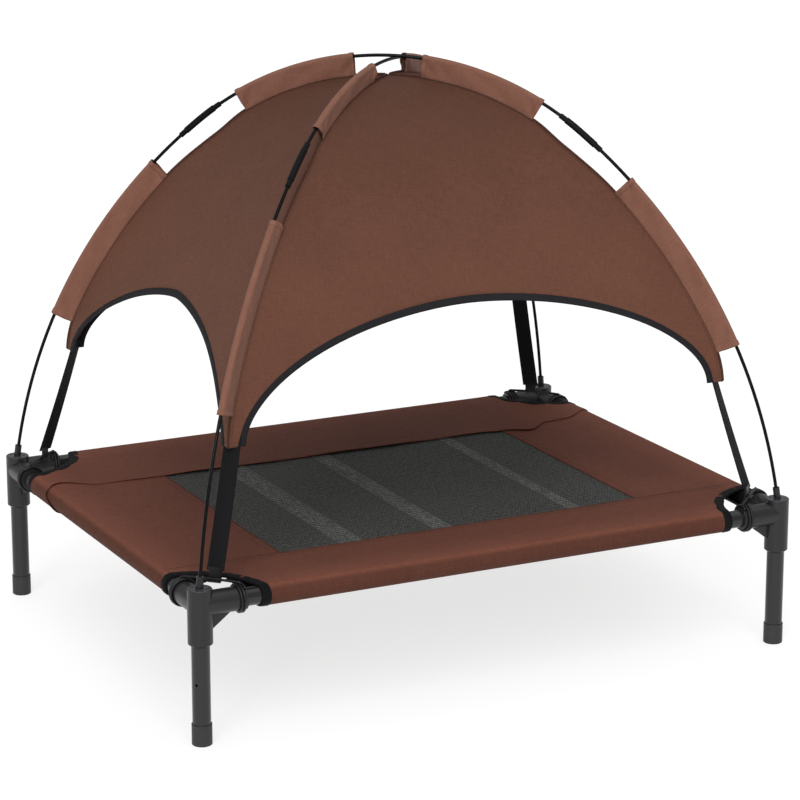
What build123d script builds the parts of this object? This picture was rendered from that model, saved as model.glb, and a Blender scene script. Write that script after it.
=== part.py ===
"""Raised dog bed: a push-fit tube frame with a taut mesh deck, and a four-sided fabric canopy
carried by two crossed spring poles. Millimetres, +Z up, origin on the floor under the centre."""
from build123d import *
import math
import os

os.makedirs("parts", exist_ok=True)

# ---- driving dimensions -------------------------------------------------------------------
POST_X = 367.0            # half the spacing of the corner posts, long side
POST_Y = 284.0            # half the spacing of the corner posts, short side
POST_TOP = 178.0
POST_BOTTOM = 113.5
POST_D = 27.6
ARM_D = 27.0
ARM_Z = 160.0
ARM_END = 52.0            # from the post's axis to the mouth of the arm
TUBE_D = 20.5
TUBE_WALL = 1.0
RAIL_INSET = 22.0         # from the post's axis to the end of the rail inside the arm
LEG_TOP = 142.0
LEG_FIT = 0.05            # radial clearance of the leg in its socket
LEG_HOLE_Z = 70.6
LEG_HOLE_D = 3.2
CAP_D = 22.6
CAP_TOP = 24.0
CAP_FLOOR = 2.0

FABRIC = 0.9              # deck fabric
CORNER_CUT = 68.0         # where the cut-out corner meets each rail, from the post's axis
CORNER_R = 85.0           # radius of the cut-out corner's concave edge
TAPE = 0.8                # corner tape
TAPE_W = 10.0
MESH_X = 229.0
MESH_FRONT = -192.0
MESH_REAR = 141.0
BAND_PLACES = ((-140.0, 32.0), (-24.0, 28.0), (148.0, 20.0))   # centre and width
BAND_T = 0.9

ROD_D = 4.0
APEX = 685.4              # centre line of the upper pole at the crown
POLE_GAP = 5.0            # how far the lower pole passes under the upper one
BASE_LEAN = 8.5           # lean of a pole where it leaves its post, degrees from vertical
JOINT_LEAN = 50.0         # lean at the joint of the side rod and the middle rod
FERRULE_HALF = 31.0
PIN_D = 6.0
PIN_FIT = 0.05
PIN_DEPTH = 18.0
CUP_D = 8.0
CUP_LENGTH = 12.0
CUP_BORE = 8.0

FIN = 23.0                # from the pole's centre line in to the canopy's ridge seam
FIN_T = 1.6
SLEEVE_D = 6.6
LOWER_SLEEVE = (24.3, 43.5)     # leans at its two ends
UPPER_SLEEVE = (59.0, 83.3)
PANEL_T = 1.4             # measured in the diagonal plane, so a steep panel is thinner
HEM_Z = 316.0
HEM_REACH = 396.0         # from the centre out to the canopy's corner at the hem
BINDING_W = 8.0
BINDING_EXTRA = 0.5       # how far the binding stands out from each face of a panel
FRONT_ARCH = (292.0, 121.0, 1.85)   # half width, height and exponent of the opening's outline
SIDE_ARCH = (224.0, 112.0, 1.6)

STRAP_W = 20.0
STRAP_T = 1.4
CORD_D = 3.0
LOOP_PLACES = (43.5, 47.0)      # the two turns of elastic on each arm
LINK_REACH = 46.0         # where the stretched elastic leaves each arm
LINK_GAP = 0.3
HOOK_W = 14.0
HOOK_SKIN = 2.2
SHANK = 13.0

# ---- values worked out from them ----------------------------------------------------------
DIAGONAL = math.hypot(POST_X, POST_Y)
TUBE_R = TUBE_D / 2
DECK_Z = ARM_Z + TUBE_R  # underside of the deck
CORDS_Z = ARM_Z + ARM_D / 2 + 1.5 * CORD_D + LINK_GAP
HOOK_IN = CORD_D / 2 + 0.3
HOOK_OUT = HOOK_IN + HOOK_SKIN
CORNERS = {
    "front_left": (-1, -1),
    "front_right": (1, -1),
    "rear_left": (-1, 1),
    "rear_right": (1, 1),
}


def diagonal_plane(sx, sy):
    """Vertical plane through the centre and one post: local x runs out to the post, y is up."""
    along = Vector(sx * POST_X, sy * POST_Y, 0).normalized()
    return Plane(origin=(0, 0, 0), x_dir=along, z_dir=along.cross(Vector(0, 0, 1)))


class Arch:
    """Half of a pole in its diagonal plane: two tangent arcs, named by their lean from vertical."""

    def __init__(self, apex):
        lean0 = math.radians(BASE_LEAN)
        lean1 = math.radians(JOINT_LEAN)
        out_low = math.cos(lean0) - math.cos(lean1)
        out_high = math.cos(lean1)
        up_low = math.sin(lean1) - math.sin(lean0)
        up_high = 1 - math.sin(lean1)
        rise = apex - POST_TOP
        det = out_low * up_high - out_high * up_low
        self.low_r = (DIAGONAL * up_high - out_high * rise) / det
        self.high_r = (out_low * rise - DIAGONAL * up_low) / det
        low_x = DIAGONAL - self.low_r * math.cos(lean0)
        low_y = POST_TOP - self.low_r * math.sin(lean0)
        self.low_c = (low_x, low_y)
        self.high_c = (0, apex - self.high_r)

    def point(self, lean, inward=0.0):
        """The point at a lean, moved inward along the arch's own normal."""
        centre, radius = (self.low_c, self.low_r) if lean < JOINT_LEAN else (self.high_c, self.high_r)
        reach = radius - inward
        angle = math.radians(lean)
        return (centre[0] + reach * math.cos(angle), centre[1] + reach * math.sin(angle))

    def lean_at(self, run):
        """The lean at a distance along the pole from the rods' joint, negative towards the base."""
        radius = self.high_r if run > 0 else self.low_r
        return JOINT_LEAN + math.degrees(run / radius)


UPPER = Arch(APEX)
LOWER = Arch(APEX - POLE_GAP)
ARCH_OF = {"front_left": LOWER, "front_right": UPPER, "rear_left": UPPER, "rear_right": LOWER}


def save(part, name):
    part.label = name
    export_step(part, f"parts/{name}.step")


# ---- frame: corner connectors, legs, feet and rails ---------------------------------------
def corner_connector(sx, sy):
    """Moulded three-way corner: upright socket for the leg, and one arm for each rail."""
    px, py = sx * POST_X, sy * POST_Y
    arm_turns = {"x": (0, 90, 0), "y": (-90, 0, 0)}
    gusset_foot = 125.0
    gusset_reach = 36.0
    gusset_t = 4.0
    with BuildPart() as connector:
        with BuildSketch(Plane.XY.offset(POST_BOTTOM)):
            with Locations((px, py)):
                Circle(POST_D / 2)
        extrude(amount=POST_TOP - POST_BOTTOM)
        chamfer(connector.edges().group_by(Axis.Z)[0], length=2.4, length2=3.0)
        chamfer(connector.edges().group_by(Axis.Z)[-1], length=0.8)
        with Locations(Location((px - sx * ARM_END / 2, py, ARM_Z), arm_turns["x"])):
            Cylinder(ARM_D / 2, ARM_END)
        with Locations(Location((px, py - sy * ARM_END / 2, ARM_Z), arm_turns["y"])):
            Cylinder(ARM_D / 2, ARM_END)
        with BuildSketch(Plane.XZ.offset(-py)):
            with BuildLine():
                Polyline((px, gusset_foot - 5), (px - sx * gusset_reach, ARM_Z - ARM_D / 2 + 1),
                         (px - sx * gusset_reach, ARM_Z), (px, ARM_Z), close=True)
            make_face()
        extrude(amount=gusset_t / 2, both=True)
        with BuildSketch(Plane.YZ.offset(px)):
            with BuildLine():
                Polyline((py, gusset_foot - 5), (py - sy * gusset_reach, ARM_Z - ARM_D / 2 + 1),
                         (py - sy * gusset_reach, ARM_Z), (py, ARM_Z), close=True)
            make_face()
        extrude(amount=gusset_t / 2, both=True)
        # leg socket, rail sockets, the hole for the pole's pin and four shallow moulding recesses
        with Locations((px, py, POST_BOTTOM)):
            Cylinder(TUBE_R + LEG_FIT, LEG_TOP - POST_BOTTOM, mode=Mode.SUBTRACT,
                     align=(Align.CENTER, Align.CENTER, Align.MIN))
        bore = ARM_END - RAIL_INSET
        with Locations(Location((px - sx * (RAIL_INSET + bore / 2), py, ARM_Z), arm_turns["x"]),
                       Location((px, py - sy * (RAIL_INSET + bore / 2), ARM_Z), arm_turns["y"])):
            Cylinder(TUBE_R, bore, mode=Mode.SUBTRACT)
        with Locations((px, py, POST_TOP)):
            Cylinder(PIN_D / 2 + PIN_FIT, PIN_DEPTH + 1, mode=Mode.SUBTRACT,
                     align=(Align.CENTER, Align.CENTER, Align.MAX))
            with PolarLocations(8.6, 4, start_angle=45):
                Cylinder(1.4, 1.2, mode=Mode.SUBTRACT,
                         align=(Align.CENTER, Align.CENTER, Align.MAX))
    return connector.part


def leg_tube(sx, sy):
    """Steel leg with one small hole that faces outwards, seated in the connector and the cap."""
    px, py = sx * POST_X, sy * POST_Y
    outward = math.degrees(math.atan2(sy * POST_Y, sx * POST_X))
    with BuildPart() as leg:
        with BuildSketch(Plane.XY.offset(CAP_FLOOR)):
            with Locations((px, py)):
                Circle(TUBE_R)
                Circle(TUBE_R - TUBE_WALL, mode=Mode.SUBTRACT)
        extrude(amount=LEG_TOP - CAP_FLOOR)
        with Locations(Location((px, py, LEG_HOLE_Z), (0, 0, outward))):
            with Locations(Location((TUBE_R - TUBE_WALL / 2, 0, 0), (0, 90, 0))):
                Cylinder(LEG_HOLE_D / 2, 4 * TUBE_WALL, mode=Mode.SUBTRACT)
    return leg.part


def foot_cap(sx, sy):
    """Plastic cap pressed over the end of a leg, with a flat underside."""
    with BuildPart() as cap:
        with BuildSketch():
            with Locations((sx * POST_X, sy * POST_Y)):
                Circle(CAP_D / 2)
        extrude(amount=CAP_TOP)
        chamfer(cap.edges().group_by(Axis.Z)[0], length=0.8)
        with BuildSketch(Plane.XY.offset(CAP_FLOOR)):
            with Locations((sx * POST_X, sy * POST_Y)):
                Circle(TUBE_R)
        extrude(amount=CAP_TOP, mode=Mode.SUBTRACT)
    return cap.part


def rail(axis, side):
    """Straight tube between two connectors."""
    if axis == "x":
        place = Location((0, side * POST_Y, ARM_Z), (0, 90, 0))
        length = 2 * (POST_X - RAIL_INSET)
    else:
        place = Location((side * POST_X, 0, ARM_Z), (90, 0, 0))
        length = 2 * (POST_Y - RAIL_INSET)
    with BuildPart() as tube:
        with Locations(place):
            Cylinder(TUBE_R, length)
            Cylinder(TUBE_R - TUBE_WALL, length, mode=Mode.SUBTRACT)
    return tube.part


# ---- deck: fabric strips folded round the rails, mesh, webbing bands and corner tape -------
def corner_centre(sx, sy):
    """Centre of the circle that cuts one concave corner of the deck, out past the post."""
    chord = CORNER_CUT / math.sqrt(2)
    past = (math.sqrt(CORNER_R ** 2 - chord ** 2) - chord) / math.sqrt(2)
    return (sx * (POST_X + past), sy * (POST_Y + past))


def deck_layer(inner, thickness):
    """A sheet level with the rails' tops, carried on round all four rails."""
    outer = inner + thickness
    span_x = 2 * (POST_X - CORNER_CUT / 2)
    span_y = 2 * (POST_Y - CORNER_CUT / 2)
    with BuildPart() as layer:
        with BuildSketch(Plane.XY.offset(ARM_Z + inner)):
            Rectangle(2 * POST_X, 2 * POST_Y)
        extrude(amount=thickness)
        with Locations(Location((0, -POST_Y, ARM_Z), (0, 90, 0)),
                       Location((0, POST_Y, ARM_Z), (0, 90, 0))):
            Cylinder(outer, span_x)
        with Locations(Location((-POST_X, 0, ARM_Z), (90, 0, 0)),
                       Location((POST_X, 0, ARM_Z), (90, 0, 0))):
            Cylinder(outer, span_y)
        with Locations(Location((0, -POST_Y, ARM_Z), (0, 90, 0)),
                       Location((0, POST_Y, ARM_Z), (0, 90, 0))):
            Cylinder(inner, span_x, mode=Mode.SUBTRACT)
        with Locations(Location((-POST_X, 0, ARM_Z), (90, 0, 0)),
                       Location((POST_X, 0, ARM_Z), (90, 0, 0))):
            Cylinder(inner, span_y, mode=Mode.SUBTRACT)
        with BuildSketch(Plane.XY.offset(ARM_Z - 2 * outer)):
            with Locations(*[corner_centre(*signs) for signs in CORNERS.values()]):
                Circle(CORNER_R)
        extrude(amount=4 * outer, mode=Mode.SUBTRACT)
    return layer.part


def deck_piece(layer, x_range, y_range):
    """The part of the deck that lies over one rectangle of the plan."""
    centre = ((x_range[0] + x_range[1]) / 2, (y_range[0] + y_range[1]) / 2, ARM_Z)
    with BuildPart() as piece:
        add(layer)
        with Locations(centre):
            Box(x_range[1] - x_range[0], y_range[1] - y_range[0], 4 * TUBE_D, mode=Mode.INTERSECT)
    return piece.part


def corner_tape(layer, fabric, sx, sy):
    """Black tape along one concave corner, lying on the fabric and round both rails."""
    with BuildPart() as tape:
        add(layer)
        add(fabric, mode=Mode.SUBTRACT)
        with BuildSketch(Plane.XY.offset(ARM_Z - 2 * TUBE_D)):
            with Locations(corner_centre(sx, sy)):
                Circle(CORNER_R + TAPE_W)
        extrude(amount=4 * TUBE_D, mode=Mode.INTERSECT)
    return tape.part


def support_bands():
    """Webbing bands under the mesh, sewn to the strips at front and rear."""
    lap = 12.0
    length = MESH_REAR - MESH_FRONT + 2 * lap
    with BuildPart() as bands:
        for place, width in BAND_PLACES:
            with Locations((place, (MESH_REAR + MESH_FRONT) / 2, DECK_Z - BAND_T / 2)):
                Box(width, length, BAND_T)
    return bands.part


def elastic_loops(sx, sy):
    """Two turns of elastic round the mouth of each arm of one corner."""
    px, py = sx * POST_X, sy * POST_Y
    ring_r = ARM_D / 2 + CORD_D / 2
    with BuildPart() as loops:
        for reach in LOOP_PLACES:
            with Locations(Location((px - sx * reach, py, ARM_Z), (0, 90, 0)),
                           Location((px, py - sy * reach, ARM_Z), (90, 0, 0))):
                Torus(ring_r, CORD_D / 2)
    return loops.part


# ---- poles ---------------------------------------------------------------------------------
def round_along(corner, lean_a, lean_b, radius):
    """A round solid that follows one arc of a half pole between two leans."""
    arch = ARCH_OF[corner]
    centre, arc_r = (arch.low_c, arch.low_r) if lean_a < JOINT_LEAN else (arch.high_c, arch.high_r)
    with BuildPart() as solid:
        with BuildLine(diagonal_plane(*CORNERS[corner])) as path:
            CenterArc(centre, arc_r, lean_a, lean_b - lean_a)
        with BuildSketch(Plane(origin=path.line @ 0, z_dir=path.line % 0)):
            Circle(radius)
        sweep(path=path.line)
    return solid.part


def cup_floor(arch):
    """The lean where a pole's rod meets the floor of its end cup."""
    return BASE_LEAN + math.degrees((CUP_LENGTH - CUP_BORE) / arch.low_r)


def ferrule(corner):
    """Metal tube that joins two rods, with a thicker grip round its middle."""
    arch = ARCH_OF[corner]
    grip_half = 22.0
    walls = []
    for half, radius in ((FERRULE_HALF, 3.2), (grip_half, 3.9)):
        walls.append(round_along(corner, arch.lean_at(-half), JOINT_LEAN, radius))
        walls.append(round_along(corner, JOINT_LEAN, arch.lean_at(half), radius))
    bores = [round_along(corner, arch.lean_at(-2 * FERRULE_HALF), JOINT_LEAN, ROD_D / 2),
             round_along(corner, JOINT_LEAN, arch.lean_at(2 * FERRULE_HALF), ROD_D / 2)]
    with BuildPart() as sleeve:
        add(walls)
        add(bores, mode=Mode.SUBTRACT)
    return sleeve.part


def pole_tips():
    """Four end cups, each leaning with its pole, with an upright pin that drops into the post."""
    collar_t = 2.0
    bores = [round_along(corner, cup_floor(ARCH_OF[corner]), JOINT_LEAN / 2, ROD_D / 2) for corner in CORNERS]
    with BuildPart() as tips:
        for sx, sy in CORNERS.values():
            plane = diagonal_plane(sx, sy)
            foot = plane.from_local_coords((DIAGONAL, POST_TOP, 0))
            lean = plane.from_local_coords((-math.sin(math.radians(BASE_LEAN)),
                                            math.cos(math.radians(BASE_LEAN)), 0))
            with Locations(foot):
                Cylinder(PIN_D / 2, PIN_DEPTH, align=(Align.CENTER, Align.CENTER, Align.MAX))
                Cylinder(CUP_D / 2 + 0.3, collar_t, align=(Align.CENTER, Align.CENTER, Align.MIN))
            with BuildSketch(Plane(origin=foot + lean, z_dir=lean)):
                Circle(CUP_D / 2)
            extrude(amount=CUP_LENGTH)
        add(bores, mode=Mode.SUBTRACT)
    return tips.part


# ---- canopy: panels, edge bindings, pole sleeves, straps and hooks -------------------------
def ridge_point(lean, inward=0.0):
    """Where the canopy's ridge seam runs in a diagonal plane, below the upper pole."""
    return UPPER.point(lean, FIN + inward)


def side_shell(axis, side, outer, inner):
    """One side of the canopy between its two ridges, as thick as the two offsets say."""
    leans = (26, 34, 42, 50, 60, 70, 80, 90)
    share = (POST_Y if axis == "y" else POST_X) / DIAGONAL
    plane = Plane.YZ if axis == "y" else Plane.XZ

    def curve(inward):
        hem = (HEM_REACH - inward, HEM_Z)
        return [hem] + [ridge_point(lean, inward) for lean in leans]

    face_out = [(side * share * reach, height) for reach, height in curve(outer)]
    face_in = [(side * share * reach, height) for reach, height in curve(inner)]
    far = 1.2
    if axis == "y":
        wedge = ((0, 0), (-far * POST_X, side * far * POST_Y), (far * POST_X, side * far * POST_Y))
    else:
        wedge = ((0, 0), (side * far * POST_X, -far * POST_Y), (side * far * POST_X, far * POST_Y))
    with BuildPart() as shell:
        with BuildSketch(plane):
            with BuildLine():
                Spline(*face_out)
                Line(face_out[-1], face_in[-1])
                Spline(*face_in)
                Line(face_in[0], face_out[0])
            make_face()
        extrude(amount=POST_X, both=True)
        with BuildSketch(Plane.XY.offset(HEM_Z - 1)):
            with BuildLine():
                Polyline(*wedge, close=True)
            make_face()
        extrude(amount=APEX - HEM_Z, mode=Mode.INTERSECT)
    return shell.part


def arch_prism(axis, grow):
    """The space of an arched opening, run right through the canopy along one axis."""
    half_width, height, power = FRONT_ARCH if axis == "y" else SIDE_ARCH
    half_width += grow
    height += grow
    steps = 16
    outline = []
    for step in range(steps + 1):
        angle = math.pi * step / steps
        across = math.copysign(abs(math.cos(angle)) ** (2 / power), math.cos(angle))
        up = abs(math.sin(angle)) ** (2 / power)
        outline.append((half_width * across, HEM_Z + height * up))
    below = HEM_Z - 5
    with BuildPart() as prism:
        with BuildSketch(Plane.XZ if axis == "y" else Plane.YZ):
            with BuildLine():
                Spline(*outline)
                Polyline(outline[-1], (-half_width, below), (half_width, below), outline[0])
            make_face()
        extrude(amount=POST_X * 1.2, both=True)
    return prism.part


def canopy_panel(axis, side):
    """Taut fabric side of the canopy, above its arched opening."""
    shell = side_shell(axis, side, 0, PANEL_T)
    opening = arch_prism(axis, BINDING_W)
    with BuildPart() as panel:
        add(shell)
        add(opening, mode=Mode.SUBTRACT)
    return panel.part


def arch_binding(axis, side):
    """Black tape folded over the edge of an arched opening."""
    shell = side_shell(axis, side, -BINDING_EXTRA, PANEL_T + BINDING_EXTRA)
    outer = arch_prism(axis, BINDING_W)
    opening = arch_prism(axis, 0)
    with BuildPart() as binding:
        add(shell)
        add(outer, mode=Mode.INTERSECT)
        add(opening, mode=Mode.SUBTRACT)
    return binding.part


def pole_sleeves(corner):
    """The lower and upper sleeves of one half pole: a tube round the rod and a web to the ridge."""
    arch = ARCH_OF[corner]
    plane = diagonal_plane(*CORNERS[corner])
    seam_gap = 0.5
    steps = 4
    stretches = (LOWER_SLEEVE, UPPER_SLEEVE)
    tubes = [round_along(corner, lean_a, lean_b, SLEEVE_D / 2) for lean_a, lean_b in stretches]
    bores = [round_along(corner, lean_a - 1, lean_b + 1, ROD_D / 2) for lean_a, lean_b in stretches]
    with BuildPart() as sleeves:
        for lean_a, lean_b in stretches:
            leans = [lean_a + (lean_b - lean_a) * step / steps for step in range(steps + 1)]
            seam = [ridge_point(lean, -seam_gap) for lean in leans]
            spine = [arch.point(lean) for lean in leans]
            with BuildSketch(plane):
                with BuildLine():
                    Spline(*seam)
                    Line(seam[-1], spine[-1])
                    Spline(*spine)
                    Line(spine[0], seam[0])
                make_face()
            extrude(amount=FIN_T / 2, both=True)
        add(tubes)
        add(bores, mode=Mode.SUBTRACT)
    return sleeves.part


def hook_place():
    """Centre of the hook's throat in the diagonal plane, where the stretched elastic crosses it."""
    spread = (POST_X + POST_Y) / DIAGONAL
    return (DIAGONAL - LINK_REACH / spread, CORDS_Z)


def strap(corner):
    """Webbing strap from the canopy's corner down to its hook."""
    throat = hook_place()
    foot_x = throat[0] - HOOK_OUT + HOOK_SKIN / 2
    foot_y = throat[1] + SHANK
    top_x = HEM_REACH - STRAP_T
    half = STRAP_T / 2
    with BuildPart() as web:
        with BuildSketch(diagonal_plane(*CORNERS[corner])):
            with BuildLine():
                Polyline((foot_x - half, foot_y), (foot_x + half, foot_y),
                         (top_x + half, HEM_Z), (top_x - half, HEM_Z), close=True)
            make_face()
        extrude(amount=STRAP_W / 2, both=True)
    return web.part


def strap_hooks():
    """Four plastic hooks, one at the foot of each strap, that hold the stretched elastic."""
    throat = hook_place()
    with BuildPart() as hooks:
        for sx, sy in CORNERS.values():
            middle = diagonal_plane(sx, sy).from_local_coords((throat[0], throat[1], 0))
            across_link = Vector(sx, sy, 0).normalized()
            square_on = Plane(origin=middle, x_dir=across_link, z_dir=across_link.cross(Vector(0, 0, 1)))
            with BuildSketch(square_on):
                Circle(HOOK_OUT)
                Circle(HOOK_IN, mode=Mode.SUBTRACT)
                Rectangle(3 * HOOK_OUT, HOOK_OUT, mode=Mode.SUBTRACT,
                          align=(Align.CENTER, Align.MIN))
                with Locations((-HOOK_OUT, 0)):
                    Rectangle(HOOK_SKIN, SHANK, align=(Align.MIN, Align.MIN))
            extrude(amount=HOOK_W / 2, both=True)
    return hooks.part


def elastic_links():
    """The stretched elastic of each corner, from arm to arm through the hook's throat."""
    past = 1.5
    length = math.sqrt(2) * (LINK_REACH + 2 * past)
    with BuildPart() as links:
        for sx, sy in CORNERS.values():
            mid = Vector(sx * (POST_X - LINK_REACH / 2), sy * (POST_Y - LINK_REACH / 2), CORDS_Z)
            along = Vector(-sx, sy, 0).normalized()
            with BuildSketch(Plane(origin=mid, z_dir=along)):
                Circle(CORD_D / 2)
            extrude(amount=length / 2, both=True)
    return links.part


# ---- build and write every piece -----------------------------------------------------------
for corner, signs in CORNERS.items():
    save(corner_connector(*signs), f"connector_{corner}")
    save(leg_tube(*signs), f"leg_{corner}")
    save(foot_cap(*signs), f"foot_cap_{corner}")
    save(elastic_loops(*signs), f"elastic_loops_{corner}")
    save(pole_sleeves(corner), f"pole_sleeves_{corner}")
    save(round_along(corner, cup_floor(ARCH_OF[corner]), JOINT_LEAN, ROD_D / 2), f"pole_rod_{corner}")
    save(strap(corner), f"strap_{corner}")

save(rail("x", -1), "rail_front")
save(rail("x", 1), "rail_rear")
save(rail("y", -1), "rail_left")
save(rail("y", 1), "rail_right")

deck = deck_layer(TUBE_R, FABRIC)
far_x = POST_X + 2 * TUBE_D
far_y = POST_Y + 2 * TUBE_D
save(deck_piece(deck, (-far_x, far_x), (-far_y, MESH_FRONT)), "deck_front")
save(deck_piece(deck, (-far_x, far_x), (MESH_REAR, far_y)), "deck_rear")
save(deck_piece(deck, (-far_x, -MESH_X), (MESH_FRONT, MESH_REAR)), "deck_left")
save(deck_piece(deck, (MESH_X, far_x), (MESH_FRONT, MESH_REAR)), "deck_right")
save(deck_piece(deck, (-MESH_X, MESH_X), (MESH_FRONT, MESH_REAR)), "deck_mesh")
save(support_bands(), "support_bands")

tape_layer = deck_layer(TUBE_R + FABRIC, TAPE)
for corner, signs in CORNERS.items():
    save(corner_tape(tape_layer, deck, *signs), f"corner_tape_{corner}")

for name, axis, side in (("front", "y", -1), ("rear", "y", 1), ("left", "x", -1), ("right", "x", 1)):
    save(canopy_panel(axis, side), f"canopy_{name}")
    save(arch_binding(axis, side), f"arch_binding_{name}")

save(round_along("front_right", JOINT_LEAN, 180 - JOINT_LEAN, ROD_D / 2), "pole_rod_upper_crown")
save(round_along("rear_right", JOINT_LEAN, 180 - JOINT_LEAN, ROD_D / 2), "pole_rod_lower_crown")
joints = [ferrule(corner) for corner in CORNERS]
with BuildPart() as ferrules:
    add(joints)
save(ferrules.part, "pole_ferrules")
save(pole_tips(), "pole_tips")
save(strap_hooks(), "strap_hooks")
save(elastic_links(), "elastic_links")
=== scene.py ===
"""Raised dog bed with a canopy: cloth, webbing, elastic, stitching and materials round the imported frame.

Everything is in metres in the frame's own axes. Each curved shape is a formula of a few named sizes,
most of them read from the CAD nodes themselves."""

import math
import bpy
import numpy as np
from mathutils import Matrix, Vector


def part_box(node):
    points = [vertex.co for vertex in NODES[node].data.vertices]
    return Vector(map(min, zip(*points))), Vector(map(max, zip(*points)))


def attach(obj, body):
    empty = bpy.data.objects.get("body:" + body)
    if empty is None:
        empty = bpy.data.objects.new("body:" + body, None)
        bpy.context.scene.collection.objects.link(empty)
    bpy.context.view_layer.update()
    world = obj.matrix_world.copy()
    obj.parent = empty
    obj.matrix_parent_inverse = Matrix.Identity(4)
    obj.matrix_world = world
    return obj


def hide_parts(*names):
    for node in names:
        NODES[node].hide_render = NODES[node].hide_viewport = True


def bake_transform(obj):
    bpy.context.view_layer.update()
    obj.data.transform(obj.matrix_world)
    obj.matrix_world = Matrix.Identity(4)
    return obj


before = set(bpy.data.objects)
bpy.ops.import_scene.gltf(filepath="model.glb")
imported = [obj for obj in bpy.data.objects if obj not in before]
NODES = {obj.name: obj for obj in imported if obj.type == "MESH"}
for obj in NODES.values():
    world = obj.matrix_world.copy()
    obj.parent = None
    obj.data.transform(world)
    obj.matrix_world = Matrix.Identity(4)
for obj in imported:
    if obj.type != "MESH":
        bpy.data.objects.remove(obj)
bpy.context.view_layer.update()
CORNERS = {"front_left": (-1, -1), "front_right": (1, -1), "rear_left": (-1, 1), "rear_right": (1, 1)}


def middle(node):
    """Centre of a CAD node's box."""
    low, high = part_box(node)
    return (low + high) / 2


# ---- sizes read from the frame ----
POST_X = middle("leg_front_right").x
POST_Y = middle("leg_rear_right").y
DIAGONAL = math.hypot(POST_X, POST_Y)
POST_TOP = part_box("connector_front_right")[1].z
RAIL_Z = middle("rail_front").z
RAIL_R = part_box("rail_front")[1].z - RAIL_Z
ROD_R = 0.002
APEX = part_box("pole_rod_upper_crown")[1].z - ROD_R
LOW_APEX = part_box("pole_rod_lower_crown")[1].z - ROD_R
HEM_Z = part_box("canopy_front")[0].z
MESH_LOW, MESH_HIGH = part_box("deck_mesh")
LINK_Z = middle("elastic_links").z
ARM_R = 0.0135

# ---- canopy sizes ----
BASE_LEAN = 8.5           # lean of the poles at their posts, degrees from vertical
JOINT_LEAN = 50.0         # lean where a side rod meets the middle rod
FIN = 0.023               # from a pole's centre line in to the ridge seam
LOWER_SLEEVE = (24.3, 43.5)
UPPER_SLEEVE = (59.0, 83.3)
TIP_LEAN = 21.09          # where the ridge reaches the hem
PULL_LEAN = 26.0          # below this the strap pulls the ridge in
TIP_PULL = 0.0083
BARE_DIP = 0.0032         # how far the ridge falls in where no sleeve holds it out
CLOTH = 0.0006
BINDING_W = 0.008
FRONT_ARCH = (0.292, 0.121, 1.85)   # half width, height and exponent of the opening's outline
SIDE_ARCH = (0.224, 0.112, 1.6)
SLEEVE_R = 0.0034


class Arch:
    """Half of a pole in its diagonal plane: two tangent arcs, named by their lean from vertical."""

    def __init__(self, apex):
        lean0 = math.radians(BASE_LEAN)
        lean1 = math.radians(JOINT_LEAN)
        out_low = math.cos(lean0) - math.cos(lean1)
        out_high = math.cos(lean1)
        up_low = math.sin(lean1) - math.sin(lean0)
        up_high = 1 - math.sin(lean1)
        rise = apex - POST_TOP
        det = out_low * up_high - out_high * up_low
        self.low_r = (DIAGONAL * up_high - out_high * rise) / det
        self.high_r = (out_low * rise - DIAGONAL * up_low) / det
        self.low_c = (DIAGONAL - self.low_r * math.cos(lean0), POST_TOP - self.low_r * math.sin(lean0))
        self.high_c = (0.0, apex - self.high_r)

    def points(self, leans, inward=0.0):
        """Reach and height at each lean, moved inward along the arch's own normal."""
        leans = np.asarray(leans, float)
        low = leans < JOINT_LEAN
        radius = np.where(low, self.low_r, self.high_r) - inward
        angle = np.radians(leans)
        reach = np.where(low, self.low_c[0], self.high_c[0]) + radius * np.cos(angle)
        height = np.where(low, self.low_c[1], self.high_c[1]) + radius * np.sin(angle)
        return np.stack([reach, height], axis=-1)


UPPER = Arch(APEX)
LOWER = Arch(LOW_APEX)
ARCH_OF = {"front_left": LOWER, "front_right": UPPER, "rear_left": UPPER, "rear_right": LOWER}


def ridge(leans):
    """Reach and height of the ridge seam, the same in all four diagonal planes."""
    leans = np.asarray(leans, float)
    bare = np.clip((leans - LOWER_SLEEVE[1]) / (UPPER_SLEEVE[0] - LOWER_SLEEVE[1]), 0, 1)
    points = UPPER.points(leans, FIN + BARE_DIP * np.sin(math.pi * bare) ** 2)
    points[..., 0] -= TIP_PULL * np.clip((PULL_LEAN - leans) / (PULL_LEAN - TIP_LEAN), 0, 1) ** 2
    return points


# the ridge again, by its share of the way from hem to crown
_leans = np.linspace(TIP_LEAN, 90, 700)
_ridge = ridge(_leans)
_run = np.concatenate([[0], np.cumsum(np.linalg.norm(np.diff(_ridge, axis=0), axis=1))])
RIDGE_RUN = _run[-1]
RISE = _run / RIDGE_RUN
REACH = _ridge[:, 0]
HEIGHT = _ridge[:, 1]
SIDES = {
    "front": {"axis": "y", "sign": -1, "arch": FRONT_ARCH, "dip": 0.007},
    "rear": {"axis": "y", "sign": 1, "arch": FRONT_ARCH, "dip": 0.007},
    "left": {"axis": "x", "sign": -1, "arch": SIDE_ARCH, "dip": 0.006},
    "right": {"axis": "x", "sign": 1, "arch": SIDE_ARCH, "dip": 0.006},
}
for _side in SIDES.values():
    _shares = (POST_X / DIAGONAL, POST_Y / DIAGONAL)
    _side["wide"], _side["deep"] = _shares if _side["axis"] == "y" else reversed(_shares)
    _out = np.gradient(_side["deep"] * REACH, RISE)
    _up = np.gradient(HEIGHT, RISE)
    _long = np.hypot(_out, _up)
    _side["normal"] = (_up / _long, -_out / _long)
    _steps = np.hypot(np.diff(_side["deep"] * REACH), np.diff(HEIGHT))
    _side["run"] = np.concatenate([[0], np.cumsum(_steps)])


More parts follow.
